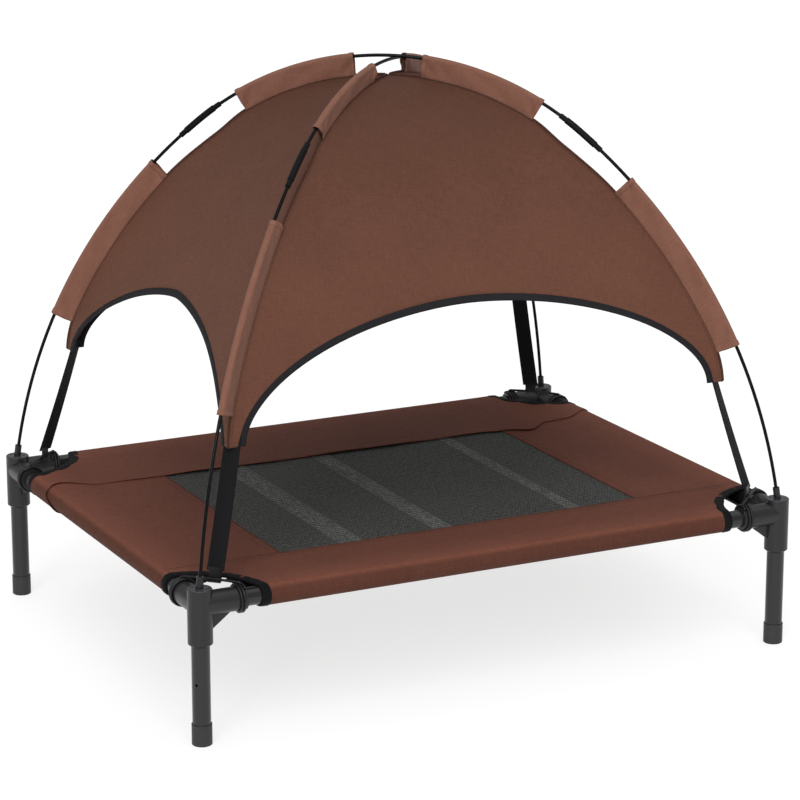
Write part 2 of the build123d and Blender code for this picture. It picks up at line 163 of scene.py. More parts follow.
# ---- mesh helpers ----
def grid_faces(rows, cols, close_rows=False, close_cols=False):
    """Quads of a grid of rows by cols points, numbered row by row."""
    faces = []
    for r in range(rows if close_rows else rows - 1):
        for c in range(cols if close_cols else cols - 1):
            r2 = (r + 1) % rows
            c2 = (c + 1) % cols
            faces.append((r * cols + c, r * cols + c2, r2 * cols + c2, r2 * cols + c))
    return faces


def bar_faces(rows, sides):
    """Faces of a bar made of rows rings of sides points, with its two flat ends."""
    faces = grid_faces(rows, sides, close_cols=True)
    faces.append(tuple(reversed(range(sides))))
    faces.append(tuple((rows - 1) * sides + i for i in range(sides)))
    return faces


def ribbon_faces(rows, cols):
    """Faces of a closed section carried along, with its two ends."""
    faces = grid_faces(rows, cols, close_rows=True)
    faces.append(tuple(r * cols for r in range(rows)))
    faces.append(tuple(r * cols + cols - 1 for r in reversed(range(rows))))
    return faces


def flat_places(across, along, mark=0.0):
    """Each point's place on the flat cut, and its material's mark."""
    return np.stack(np.broadcast_arrays(across, along, mark), axis=-1)


def make(name, points, faces, material, body, cloth=None, thick=0.0, offset=0.0):
    """A smooth mesh piece that rides on a body. cloth gives each point its place on the flat cut."""
    mesh = bpy.data.meshes.new(name)
    mesh.from_pydata(np.asarray(points).reshape(-1, 3).tolist(), [], faces)
    mesh.polygons.foreach_set("use_smooth", [True] * len(mesh.polygons))
    if cloth is not None:
        layer = mesh.attributes.new("cloth", "FLOAT_VECTOR", "POINT")
        layer.data.foreach_set("vector", np.asarray(cloth, np.float32).ravel())
    mesh.update()
    piece = bpy.data.objects.new(name, mesh)
    bpy.context.scene.collection.objects.link(piece)
    mesh.materials.append(material)
    if thick:
        solid = piece.modifiers.new("thickness", "SOLIDIFY")
        solid.thickness = thick
        solid.offset = offset
    if body:
        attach(piece, body)
    return piece


def flat_cut(piece):
    """Width, length and area of the flat cut of a piece of cloth."""
    cut = np.zeros(len(piece.data.vertices) * 3, np.float32)
    piece.data.attributes["cloth"].data.foreach_get("vector", cut)
    cut = cut.reshape(-1, 3)[:, :2].astype(float)
    area = 0.0
    for face in piece.data.polygons:
        x, y = cut[list(face.vertices)].T
        area += abs(x @ np.roll(y, -1) - y @ np.roll(x, -1)) / 2
    size = cut.max(axis=0) - cut.min(axis=0)
    return float(size[0]), float(size[1]), float(area)


def unit(v):
    return v / np.maximum(np.linalg.norm(v, axis=-1, keepdims=True), 1e-12)


def swept(path, widths, normals, section):
    """Points of a section, a list of (across, out) pairs, carried along a path with its own directions."""
    section = np.asarray(section, float)
    return (
        path[:, None, :]
        + widths[:, None, :] * section[None, :, :1]
        + normals[:, None, :] * section[None, :, 1:]
    )


def tube(path, radius, sides=14):
    """Points and faces of a round tube along a path, closed by flat ends."""
    path = np.asarray(path, float)
    tangents = unit(np.gradient(path, axis=0))
    side = np.cross(tangents[0], (0.31, 0.52, 0.79))
    frames = []
    for t in tangents:
        side = side - t * (side @ t)
        side = side / np.linalg.norm(side)
        frames.append((side, np.cross(t, side)))
    angles = 2 * math.pi * np.arange(sides) / sides
    ring = np.stack([np.cos(angles), np.sin(angles)], axis=1) * radius
    points = np.array([p + ring[:, :1] * a + ring[:, 1:] * b for p, (a, b) in zip(path, frames)])
    return points.reshape(-1, 3), bar_faces(len(path), sides)


def rounded_section(width, thick, steps=4):
    """A flat strip's section with rounded edges, as (across, out) pairs."""
    half = width / 2 - thick / 2
    pairs = []
    for turn in range(-steps, steps + 1):
        angle = math.pi / 2 * turn / steps
        pairs.append((half + thick / 2 * math.cos(angle), thick / 2 * math.sin(angle)))
    return pairs + [(-a, -o) for a, o in pairs]


class Stitches:
    """Lockstitches laid end to end along seams, gathered into one piece."""

    LENGTH = 0.0026
    PITCH = 0.0034
    RADIUS = 0.00028
    SIDES = 6
    RINGS = ((-0.5, 0.35), (-0.3, 1.0), (0.3, 1.0), (0.5, 0.35))    # place along, share of the radius

    def __init__(self):
        self.points = []
        self.faces = []

    def seam(self, path, normals):
        """Stitches along a path of points that lies on the cloth, half sunk into it."""
        path = np.asarray(path, float)
        normals = unit(np.asarray(normals, float))
        run = np.concatenate([[0], np.cumsum(np.linalg.norm(np.diff(path, axis=0), axis=1))])
        places = np.arange(self.PITCH / 2, run[-1], self.PITCH)
        for place in places:
            centre, ahead, normal = (
                np.array([np.interp(at, run, data[:, k]) for k in range(3)])
                for at, data in ((place, path), (place + 1e-4, path), (place, normals))
            )
            along = ahead - centre
            size = np.linalg.norm(along)
            if size < 1e-9:
                continue
            along = along / size
            across = np.cross(normal, along)
            first = len(self.points)
            for share, swell in self.RINGS:
                for step in range(self.SIDES):
                    angle = 2 * math.pi * step / self.SIDES
                    round_it = math.cos(angle) * across + math.sin(angle) * normal
                    self.points.append(centre + along * share * self.LENGTH + round_it * swell * self.RADIUS)
            for face in bar_faces(len(self.RINGS), self.SIDES):
                self.faces.append(tuple(first + i for i in face))

    def finish(self, name, material, body, slot):
        return make(name, self.points, self.faces, material, body)


# ---- materials ----
class Surface:
    """A material with a Principled shader, and short ways to add the nodes that drive it."""

    def __init__(self, name, rough, metal=0.0, sheen=0.0, coat=0.0, specular=0.5):
        self.material = bpy.data.materials.new(name)
        self.material.use_nodes = True
        self.tree = self.material.node_tree
        self.shader = self.tree.nodes["Principled BSDF"]
        self.shader.inputs["Roughness"].default_value = rough
        self.shader.inputs["Metallic"].default_value = metal
        self.shader.inputs["Sheen Weight"].default_value = sheen
        self.shader.inputs["Sheen Roughness"].default_value = 0.45
        self.shader.inputs["Coat Weight"].default_value = coat
        self.shader.inputs["Coat Roughness"].default_value = 0.25
        self.shader.inputs["Specular IOR Level"].default_value = specular

    def put(self, socket, value):
        if isinstance(value, bpy.types.NodeSocket):
            self.tree.links.new(value, socket)
        else:
            socket.default_value = value

    def math(self, operation, a, b=0.0, c=0.0):
        made = self.tree.nodes.new("ShaderNodeMath")
        made.operation = operation
        for socket, value in zip(made.inputs, (a, b, c)):
            self.put(socket, value)
        return made.outputs[0]

    def place(self):
        """The point's place on the object, in metres."""
        return self.tree.nodes.new("ShaderNodeTexCoord").outputs["Object"]

    def cloth(self):
        """The point's place on the flat cut of the cloth: across and along, in metres."""
        made = self.tree.nodes.new("ShaderNodeAttribute")
        made.attribute_name = "cloth"
        parts = self.tree.nodes.new("ShaderNodeSeparateXYZ")
        self.tree.links.new(made.outputs["Vector"], parts.inputs[0])
        return made.outputs["Vector"], parts.outputs[0], parts.outputs[1], parts.outputs[2]

    def height(self):
        """The point's height on the object, in metres."""
        parts = self.tree.nodes.new("ShaderNodeSeparateXYZ")
        self.tree.links.new(self.place(), parts.inputs[0])
        return parts.outputs[2]

    def noise(self, vector, size, detail=3.0, rough=0.5, stretch=(1, 1, 1)):
        """Noise from 0 to 1 whose features are about size metres across."""
        fit = self.tree.nodes.new("ShaderNodeMapping")
        fit.inputs["Scale"].default_value = stretch
        self.put(fit.inputs["Vector"], vector)
        made = self.tree.nodes.new("ShaderNodeTexNoise")
        self.put(made.inputs["Vector"], fit.outputs[0])
        made.inputs["Scale"].default_value = 1 / size
        made.inputs["Detail"].default_value = detail
        made.inputs["Roughness"].default_value = rough
        return made.outputs["Fac"]

    def wave(self, coordinate, pitch):
        """A smooth wave from -1 to 1 with one crest each pitch metres."""
        return self.math("SINE", self.math("MULTIPLY", coordinate, 2 * math.pi / pitch))

    def ramp(self, value, low, high, out_low, out_high):
        made = self.tree.nodes.new("ShaderNodeMapRange")
        for socket, number in zip(list(made.inputs)[:5], (value, low, high, out_low, out_high)):
            self.put(socket, number)
        return made.outputs[0]

    def tint(self, colour, *shares):
        """The colour times each of the shares, which are near 1."""
        total = shares[0]
        for share in shares[1:]:
            total = self.math("MULTIPLY", total, share)
        made = self.tree.nodes.new("ShaderNodeVectorMath")
        made.operation = "SCALE"
        made.inputs[0].default_value = colour[:3]
        self.put(made.inputs["Scale"], total)
        self.tree.links.new(made.outputs[0], self.shader.inputs["Base Color"])

    def bump(self, height, depth, strength=1.0, under=None):
        made = self.tree.nodes.new("ShaderNodeBump")
        made.inputs["Strength"].default_value = strength
        made.inputs["Distance"].default_value = depth
        self.put(made.inputs["Height"], height)
        if under is not None:
            self.put(made.inputs["Normal"], under)
        self.tree.links.new(made.outputs[0], self.shader.inputs["Normal"])
        return made.outputs[0]

    def roughness(self, value):
        self.put(self.shader.inputs["Roughness"], value)


def linear(red, green, blue):
    """A display colour, 0 to 255, as the linear numbers that a shader takes."""
    shares = [c / 255 for c in (red, green, blue)]
    return tuple(((c + 0.055) / 1.055) ** 2.4 if c > 0.04045 else c / 12.92 for c in shares)


def woven(name, colour, pitch, sheen, rough, depth, specular=0.08, painted_shade=(0, 1, 1, 1), painted_rail_light=False):
    """Plain-weave polyester: crossing threads, slubs in the yarn and soft patches of tone.

    The tone can change along the cloth as painted shade: from one place to another, and the tones there.
    Cloth round the rails can get a painted highlight where it bends over their tops and painted shade on
    their outsides."""
    made = Surface(name, rough, sheen=sheen, specular=specular)
    vector, across, along, _ = made.cloth()
    cross = made.math("MULTIPLY", made.wave(across, pitch), made.wave(along, pitch))
    slub_a = made.noise(vector, 0.0016, 2.0, 0.6, (1, 0.12, 1))
    slub_b = made.noise(vector, 0.0016, 2.0, 0.6, (0.12, 1, 1))
    slubs = made.math("ADD", slub_a, slub_b)
    patches = made.noise(vector, 0.09, 3.0)
    tones = [
        made.ramp(cross, -1, 1, 0.88, 1.1),
        made.ramp(slubs, 0.7, 1.3, 0.88, 1.12),
        made.ramp(patches, 0.3, 0.7, 0.95, 1.05),
        # painted shade along the cloth
        made.ramp(along, *painted_shade),
    ]
    # painted highlight over each rail's top and painted shade on its outside
    if painted_rail_light:
        for place, rail in ((across, POST_X), (along, POST_Y)):
            away = made.math("ABSOLUTE", place)
            tones.append(made.ramp(away, rail - 0.04, rail - 0.002, 1.0, 1.25))
            tones.append(made.ramp(away, rail + 0.005, rail + 0.010, 1.0, 0.55))
    made.tint(colour, *tones)
    made.roughness(made.ramp(slubs, 0.7, 1.3, rough + 0.06, rough - 0.08))
    rumple = made.bump(made.noise(vector, 0.012, 2.0), 0.0002, 0.3)
    made.bump(made.math("ADD", cross, slubs), depth, 0.6, rumple)
    return made.material


def webbing(name, colour, pitch, rough=0.6):
    """Ribbed narrow weave: ribs across the strip, threads along it."""
    made = Surface(name, rough, specular=0.08)
    vector, across, along, _ = made.cloth()
    ribs = made.math("ABSOLUTE", made.wave(along, 2 * pitch))
    threads = made.math("MULTIPLY", made.wave(across, pitch * 0.8), 0.4)
    fuzz = made.noise(vector, 0.0012, 3.0)
    made.tint(colour, made.ramp(ribs, 0, 1, 0.7, 1.15), made.ramp(fuzz, 0.3, 0.7, 0.85, 1.15))
    made.bump(made.math("ADD", ribs, threads), 0.00025, 0.8)
    return made.material


def open_mesh(name, colour):
    """Coated mesh of thick crossing yarns, lighter where a band backs it, with dark holes between."""
    made = Surface(name, 0.6, specular=0.12)
    vector, across, along, backed = made.cloth()
    warp = made.math("ABSOLUTE", made.wave(across, 0.0080))
    weft = made.math("ABSOLUTE", made.wave(along, 0.0130))
    yarn = made.math("MAXIMUM", warp, weft)
    hole = made.ramp(yarn, 0.55, 0.95, 0.05, 1.35)
    lighter = made.ramp(backed, 0, 1, 1.0, 1.8)
    edge_line = made.math("MULTIPLY", backed, made.math("SUBTRACT", 1.0, backed))
    speckle = made.noise(vector, 0.0022, 2.0, 0.6, (1, 0.35, 1))
    mottle = made.noise(vector, 0.006, 2.0)
    made.tint(
        colour, hole, lighter,
        made.ramp(edge_line, 0, 0.25, 1.0, 0.6),
        made.ramp(speckle, 0.38, 0.62, 0.6, 1.5),
        made.ramp(mottle, 0.3, 0.7, 0.8, 1.2),
    )
    made.bump(yarn, 0.0004, 0.7)
    return made.material


def moulded(name, colour, rough, grain, depth, scuff=0.0, top=9.0):
    """Moulded plastic: a fine spark-eroded grain, slight flow marks and rubbed patches.

    Faces at the height top are paler: a painted highlight where light falls on them from above."""
    made = Surface(name, rough, specular=0.35)
    place = made.place()
    fine = made.noise(place, grain, 2.0, 0.6)
    flow = made.noise(place, 0.03, 3.0)
    rub = made.noise(place, 0.006, 4.0, 0.7)
    made.tint(
        colour,
        made.ramp(flow, 0.3, 0.7, 0.92, 1.08),
        made.ramp(rub, 0.55, 0.75, 1.0, 1.0 + scuff),
        # painted highlight on the faces at the height top
        made.ramp(made.height(), top - 0.0009, top - 0.0003, 1.0, 2.6),
    )
    made.roughness(made.ramp(rub, 0.4, 0.7, rough + 0.05, rough - 0.06))
    made.bump(fine, depth, 0.5)
    return made.material


def coated_steel(name, colour, rough):
    """Powder-coated steel tube: orange peel and tiny rub marks."""
    made = Surface(name, rough, coat=0.1, specular=0.4)
    place = made.place()
    peel = made.noise(place, 0.0018, 2.0)
    marks = made.noise(place, 0.004, 4.0, 0.75)
    made.tint(colour, made.ramp(marks, 0.6, 0.8, 1.0, 1.12))
    made.roughness(made.ramp(marks, 0.35, 0.7, rough + 0.02, rough - 0.03))
    made.bump(peel, 0.00012, 0.35)
    return made.material


def pole_stock(name, colour, rough, metal):
    """Drawn rod: fine streaks round it."""
    made = Surface(name, rough, metal=metal, specular=0.1)
    place = made.place()
    streaks = made.noise(place, 0.0007, 3.0, 0.6, (1, 1, 0.1))
    made.tint(colour, made.ramp(streaks, 0.3, 0.7, 0.85, 1.15))
    made.roughness(made.ramp(streaks, 0.3, 0.7, rough - 0.05, rough + 0.08))
    made.bump(streaks, 0.00005, 0.4)
    return made.material


def braid(name, colour):
    """Braided elastic: fine diagonal ribs with a slight shine."""
    made = Surface(name, 0.42, specular=0.3)
    place = made.place()
    ribs = made.noise(place, 0.0007, 2.0, 0.5)
    made.tint(colour, made.ramp(ribs, 0.3, 0.7, 0.75, 1.25))
    made.bump(ribs, 0.0002, 0.8)
    return made.material


def thread(name, colour):
    """Twisted sewing thread."""
    made = Surface(name, 0.6, specular=0.15)
    twist = made.noise(made.place(), 0.0004, 1.0)
    made.tint(colour, made.ramp(twist, 0.3, 0.7, 0.8, 1.2))
    return made.material


CROWN_PAINTED_SHADE = (0.16, 0.44, 1.03, 0.70)    # painted shade: the canopy darker toward the crown
CANOPY = woven("canopy_weave", linear(95, 62, 49), 0.0008, 0.02, 0.62, 0.00012, painted_shade=CROWN_PAINTED_SHADE)
# the canopy's own cloth given a paler colour: a painted highlight for the light the sleeves catch
SLEEVE = woven("sleeve_weave_painted_light", linear(121, 82, 67), 0.0008, 0.06, 0.55, 0.00012, 0.12)
# darker than the canopy's cloth: painted shade for the dark line along each ridge seam
SHADED_WELT = woven("shaded_welt_weave", linear(72, 45, 36), 0.0008, 0.0, 0.7, 0.00012)
# painted highlight over the rails' tops and painted shade on their outsides
DECK = woven("deck_weave", linear(99, 60, 48), 0.0010, 0.0, 0.7, 0.00016, painted_rail_light=True)
MESH = open_mesh("deck_mesh_weave", linear(58, 59, 57))
STRAP = webbing("strap_webbing", linear(21, 20, 22), 0.0012)
BAND = webbing("band_webbing", linear(52, 53, 55), 0.0014)
BINDING = webbing("binding_tape", linear(34, 34, 37), 0.0009, 0.55)
TAPE = webbing("corner_tape", linear(16, 16, 18), 0.0009, 0.6)
# the connectors' faces at the posts' top get a painted highlight
PLASTIC = moulded("connector_plastic", linear(30, 30, 32), 0.33, 0.0007, 0.00008, 0.25, POST_TOP)
CAP = moulded("foot_cap_plastic", linear(40, 40, 42), 0.5, 0.0009, 0.0001, 0.4)
TIP = moulded("tip_plastic", linear(24, 24, 26), 0.36, 0.0006, 0.00006)
HOOK = moulded("hook_plastic", linear(20, 20, 22), 0.38, 0.0006, 0.00006)
STEEL = coated_steel("tube_coating", linear(25, 25, 27), 0.22)
ROD = pole_stock("rod_fibreglass", linear(11, 11, 12), 0.2, 0.0)
FERRULE = pole_stock("ferrule_steel", linear(17, 17, 18), 0.32, 0.2)
ELASTIC = braid("elastic_braid", linear(12, 12, 14))
BROWN_THREAD = thread("brown_thread", linear(62, 38, 30))
BLACK_THREAD = thread("black_thread", linear(34, 34, 36))


# ---- canopy: four curved sheets that share their ridges ----
def on_panel(side, across, rise, off=0.0):
    """Points of one side's cloth, and what is sewn to it: across, share of the profile, and off outward."""
    spec = SIDES[side]
    across, rise = np.broadcast_arrays(np.asarray(across, float), np.asarray(rise, float))
    reach = np.interp(rise, RISE, REACH)
    height = np.interp(rise, RISE, HEIGHT)
    half = np.maximum(spec["wide"] * reach, 1e-6)
    from_ridge = np.clip(half - np.abs(across), 0, None)
    taut = 1 - np.clip(np.abs(across) / half, 0, 1) ** 2
    dip = spec["dip"] * taut * np.sin(math.pi * np.clip(rise, 0, 1) ** 0.8)
    pucker = 0.00035 * np.sin(rise * RIDGE_RUN * 2 * math.pi / 0.011) * np.exp(-from_ridge / 0.007)
    swell = 0.0006 * np.sin(across * 31 + rise * 9) * np.sin(across * 17 - rise * 23 + 1.3) * taut
    off = off - dip + pucker * np.clip(from_ridge / 0.002, 0, 1) + swell
    out_n = np.interp(rise, RISE, spec["normal"][0])
    up_n = np.interp(rise, RISE, spec["normal"][1])
    out = spec["sign"] * (spec["deep"] * reach + off * out_n)
    up = height + off * up_n
    return np.stack([across, out, up] if spec["axis"] == "y" else [out, across, up], axis=-1)


def edge(side, turn, grow):
    """Across and rise of the opening's outline, grown outward; turn goes from 0 to pi over the arch."""
    half, tall, power = SIDES[side]["arch"]
    cos, sin = np.cos(turn), np.abs(np.sin(turn))
    across = -(half + grow) * np.sign(cos) * np.abs(cos) ** (2 / power)
    height = HEM_Z + (tall + grow) * sin ** (2 / power)
    return across, np.interp(height, HEIGHT, RISE)


def panel(side):
    """Taut cloth between two ridges and the bound edge of the opening."""
    spec = SIDES[side]
    cols, rows = 300, 44
    lap = 0.005               # how far the cloth reaches into its binding
    share = np.linspace(0, 1, cols)
    low_across, low_rise = edge(side, share * math.pi, BINDING_W - lap)
    high_rise = 1 - np.abs(2 * share - 1)
    high_across = np.sign(share - 0.5) * spec["wide"] * np.interp(high_rise, RISE, REACH)
    t = np.linspace(0, 1, rows)[:, None] ** 0.9
    across = (1 - t) * low_across + t * high_across
    rise = (1 - t) * low_rise + t * high_rise
    points = on_panel(side, across, rise)
    cut = flat_places(across, np.interp(rise, RISE, spec["run"]))
    flip = spec["sign"] * (1 if spec["axis"] == "y" else -1) > 0
    faces = grid_faces(rows, cols)
    if flip:
        faces = [f[::-1] for f in faces]
    made = make(f"cloth_canopy_{side}", points, faces, CANOPY, "canopy", cut, CLOTH)
    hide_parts(f"canopy_{side}")
    return made


def binding(side):
    """Black tape folded over the edge of an opening, and cut off square at the hem."""
    cols = 240
    turns = np.linspace(0, math.pi, cols)
    section = [(BINDING_W, 0.0007), (0.006, 0.0011), (0.003, 0.0012), (0.0008, 0.0009), (0.0, 0.0),
               (0.0008, -0.0009), (0.003, -0.0012), (0.006, -0.0011), (BINDING_W, -0.0007)]
    half, tall, _ = SIDES[side]["arch"]
    long = math.pi * math.sqrt((half ** 2 + tall ** 2) / 2)
    rings, cuts = [], []
    for grow, off in section:
        across, rise = edge(side, turns, grow)
        ripple = 0.00018 * np.sin(turns / math.pi * long * 2 * math.pi / 0.013)
        rings.append(on_panel(side, across, rise, off + ripple * (grow / BINDING_W)))
        cuts.append(flat_places(grow, turns / math.pi * long))
    faces = ribbon_faces(len(section), cols)
    made = make(f"tape_arch_{side}", np.array(rings), faces, BINDING, "canopy", np.array(cuts))
    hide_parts(f"arch_binding_{side}")
    return made


def panel_stitches(side, brown, black):
    """Topstitching: on the binding, beside both ridges and across the two hemmed tips."""
    turns = np.linspace(0.01, math.pi - 0.01, 400)
    for face in (1, -1):
        across, rise = edge(side, turns, BINDING_W - 0.0016)
        path = on_panel(side, across, rise, face * 0.0011)
        black.seam(path, (on_panel(side, across, rise, face * 0.003) - path))
    rises = np.linspace(0.01, 0.985, 400)
    for way in (-1, 1):
        half = SIDES[side]["wide"] * np.interp(rises, RISE, REACH)
        across = way * (half - 0.0035)
        path = on_panel(side, across, rises, CLOTH / 2)
        brown.seam(path, on_panel(side, across, rises, 0.003) - path)
        level = np.full(12, 0.005 / RIDGE_RUN)
        inner = edge(side, np.array([0.02]), BINDING_W + 0.001)[0][0]
        outer = -(SIDES[side]["wide"] * np.interp(level[0], RISE, REACH) - 0.002)
        across = way * np.linspace(inner, outer, 12)
        path = on_panel(side, across, level, CLOTH / 2)
        brown.seam(path, on_panel(side, across, level, 0.003) - path)


def diagonal(corner, points, sideways=0.0):
    """Points (reach, height) in a corner's diagonal plane, moved sideways out of it, in the row frame."""
    sx, sy = CORNERS[corner]
    along = np.array([sx * POST_X, sy * POST_Y]) / DIAGONAL
    normal = np.array([-along[1], along[0]])
    points = np.asarray(points, float)
    sideways = np.broadcast_to(np.asarray(sideways, float), points.shape[:-1])
    x = along[0] * points[..., 0] + normal[0] * sideways
    y = along[1] * points[..., 0] + normal[1] * sideways
    return np.stack([x, y, points[..., 1]], axis=-1)


def ridge_seam(corner):
    """The closed seam where two panels meet: a narrow folded welt from the tip to the crown."""
    leans = np.linspace(TIP_LEAN, 89.4, 220)
    flat = ridge(leans)
    outward = unit(flat - UPPER.points(leans, 2 * FIN))
    section = [(-0.001, 0.0007), (0.001, 0.0009), (0.0022, 0.0007), (0.0026, 0.0),
               (0.0022, -0.0007), (0.001, -0.0009), (-0.001, -0.0007)]
    rings = [diagonal(corner, flat + outward * out, aside) for out, aside in section]
    run = np.interp(leans, _leans, _run)
    cuts = [flat_places(out, run) for out, _ in section]
    faces = ribbon_faces(len(section), len(leans))
    name = f"canopy_ridge_seam_{corner}"
    return make(name, np.array(rings), faces, SHADED_WELT, "canopy", np.array(cuts))


def sleeve_point(corner, lean, share, side, extra=0.0):
    """A point of a sleeve's wall. share is 0 at the pole and 1 at the ridge; side is -1 or 1."""
    order = list(CORNERS).index(corner)
    spine = ARCH_OF[corner].points(lean)
    seam = ridge(lean)
    stretch = UPPER_SLEEVE if np.mean(lean) > JOINT_LEAN else LOWER_SLEEVE
    place = (lean - stretch[0]) / (stretch[1] - stretch[0])
    near_end = np.exp(-np.minimum(np.abs(place), np.abs(1 - place)) / 0.09)
    width = 0.0006 + (SLEEVE_R - 0.0006) * np.clip(1 - share, 0, 1) ** 0.75
    loose = np.sin(math.pi * np.clip(share, 0, 1))
    wave = 0.0009 * np.sin(2 * math.pi * (2.2 * place + 0.21 * order) + 2 * share)
    fold = 0.0017 * near_end * np.sin(2 * math.pi * (8 * place + 0.37 * order) + 5 * share)
    sideways = side * (width + extra) + loose * (wave + fold)
    return diagonal(corner, spine + share[..., None] * (seam - spine), sideways)


def sleeve(corner, name, stretch):
    """Cloth folded round the pole and sewn into the ridge, open at both ends, with hemmed mouths."""
    arch = ARCH_OF[corner]
    radius = arch.high_r if stretch[0] > JOINT_LEAN else arch.low_r
    hem = math.degrees(0.0052 / radius)
    step = math.degrees(0.0004 / radius)
    inner = np.linspace(stretch[0] + hem + step, stretch[1] - hem - step, 90)
    leans = np.concatenate([
        np.linspace(stretch[0], stretch[0] + hem, 4), inner, np.linspace(stretch[1] - hem, stretch[1], 4)
    ])
    in_hem = (leans < stretch[0] + hem + step / 2) | (leans > stretch[1] - hem - step / 2)
    extra = np.where(in_hem, 0.0007, 0.0)
    shares = np.array([1.0, 0.93, 0.85, 0.75, 0.65, 0.55, 0.45, 0.35, 0.25, 0.16, 0.08, 0.0])
    turns = np.linspace(0, math.pi, 11)[1:-1]
    rings, cuts = [], []
    run = np.radians(leans) * radius
    away = 0.0
    for side in (-1, 1):
        order = shares if side < 0 else shares[::-1]
        for share in order:
            rings.append(sleeve_point(corner, leans, np.full(len(leans), share), side, extra))
            cuts.append(flat_places(away, run))
            away += 0.0022
        if side < 0:
            spine = arch.points(leans)
            outward = unit(spine - ridge(leans))
            for turn in turns:
                size = (SLEEVE_R + extra)[:, None]
                flat = spine + outward * size * math.sin(turn)
                rings.append(diagonal(corner, flat, -(SLEEVE_R + extra) * math.cos(turn)))
                cuts.append(flat_places(away, run))
                away += 0.0011
    faces = grid_faces(len(rings), len(leans))
    made = make(
        f"cloth_sleeve_{name}_{corner}", np.array(rings), faces, SLEEVE, "canopy",
        np.array(cuts), CLOTH * 0.9, -1.0,
    )
    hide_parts(f"pole_sleeves_{corner}")
    return made


def sleeve_stitches(corner, stretch, brown):
    """Two rows beside the ridge and one across each hemmed mouth, on both faces of the sleeve."""
    arch = ARCH_OF[corner]
    radius = arch.high_r if stretch[0] > JOINT_LEAN else arch.low_r
    hem = math.degrees(0.0044 / radius)
    for side in (-1, 1):
        leans = np.linspace(stretch[0] + 0.1, stretch[1] - 0.1, 160)
        shares = np.full(len(leans), 0.88)
        path = sleeve_point(corner, leans, shares, side)
        brown.seam(path, sleeve_point(corner, leans, shares, side, 0.002) - path)
        for lean in (stretch[0] + hem, stretch[1] - hem):
            shares = np.linspace(0.95, 0.05, 20)
            leans = np.full(len(shares), lean)
            path = sleeve_point(corner, leans, shares, side, 0.0005)
            brown.seam(path, sleeve_point(corner, leans, shares, side, 0.003) - path)


# ---- deck: cloth sewn round the rails and cut away at the corners ----
CORNER_CUT = 0.068        # from the post's axis to where the cut meets each rail
CORNER_R = 0.085
TAPE_W = 0.010
TAPE_RUN = 0.26           # weave drawn along one corner's tape
STRIP_FRONT = -POST_Y + 0.046    # where each side strip ends, front and rear
STRIP_REAR = 0.2
HEM_STILL = 0.2           # the rear hem shifts cloth only in front of this
DECK_R = RAIL_R + 0.00045
RAIL_SEAM = 0.040         # from the rail's axis in to the seam that closes the cloth round the rail
WRAP = 2 * math.pi - 2 * math.atan2(RAIL_SEAM, DECK_R)
WRAP_RUN = DECK_R * WRAP
FULL_RUN = WRAP_RUN + RAIL_SEAM - 0.001
SAG = 0.002


def wrap(run, lift):
    """Out past a rail's axis and up from it, for a run of cloth measured from the rail's top."""
    run = np.asarray(run, float)
    angle = np.clip(run / DECK_R, 0, WRAP)
    size = DECK_R + lift
    back = np.clip(run - WRAP_RUN, 0, None)
    out = np.minimum(run, 0) + size * np.sin(angle) + back * math.cos(WRAP)
    up = size * np.cos(angle) - back * math.sin(WRAP)
    return out, up


def deck_point(across, along, lift):
    """A point of the deck's cloth, by its place on the flat cut, in the row frame."""
    across, along, lift = np.broadcast_arrays(across, along, lift)
    out_x, up_x = wrap(np.abs(across) - POST_X, lift)
    out_y, up_y = wrap(np.abs(along) - POST_Y, lift)
    over_x = np.abs(across) > POST_X
    x = np.sign(across) * (POST_X + out_x)
    y = np.sign(along) * (POST_Y + out_y)
    sag = SAG * np.clip(1 - (across / POST_X) ** 2, 0, 1) * np.clip(1 - (along / POST_Y) ** 2, 0, 1)
    z = RAIL_Z + np.where(over_x, up_x, up_y) - sag
    return np.stack([x, y, z], axis=-1)


def corner_centre(sx, sy):
    """Centre of the circle that cuts one concave corner of the deck."""
    chord = CORNER_CUT / math.sqrt(2)
    past = (math.sqrt(CORNER_R ** 2 - chord ** 2) - chord) / math.sqrt(2)
    return np.array([sx * (POST_X + past), sy * (POST_Y + past)])


def grid_lines(low, high, rail, step=0.004, fine=0.002):
    """Grid lines from low to high that are closer together past the rails' axes."""
    marks = [low] + [m for m in (-rail, rail) if low < m < high] + [high]
    lines = []
    for a, b in zip(marks, marks[1:]):
        gap = fine if abs(a + b) / 2 > rail else step
        lines.append(np.linspace(a, b, max(2, round((b - a) / gap) + 1))[:-1])
    return np.concatenate(lines + [[high]])


def creases(across, along):
    """Soft ripples of taut cloth, and the short creases that run in from the cut corners."""
    height = 0.00025 * np.sin(across * 60 + 1) * np.sin(along * 47 + across * 21)
    for number, (sx, sy) in enumerate(CORNERS.values()):
        centre = corner_centre(sx, sy)
        away_x, away_y = across - centre[0], along - centre[1]
        past = np.hypot(away_x, away_y) - CORNER_R
        turn = np.arctan2(away_y * sy, away_x * sx)
        pleat = np.sin(turn * 16 + number) * np.exp(-np.clip(past, 0, None) / 0.035)
        height += 0.0006 * pleat * (past < 0.12)
    return height


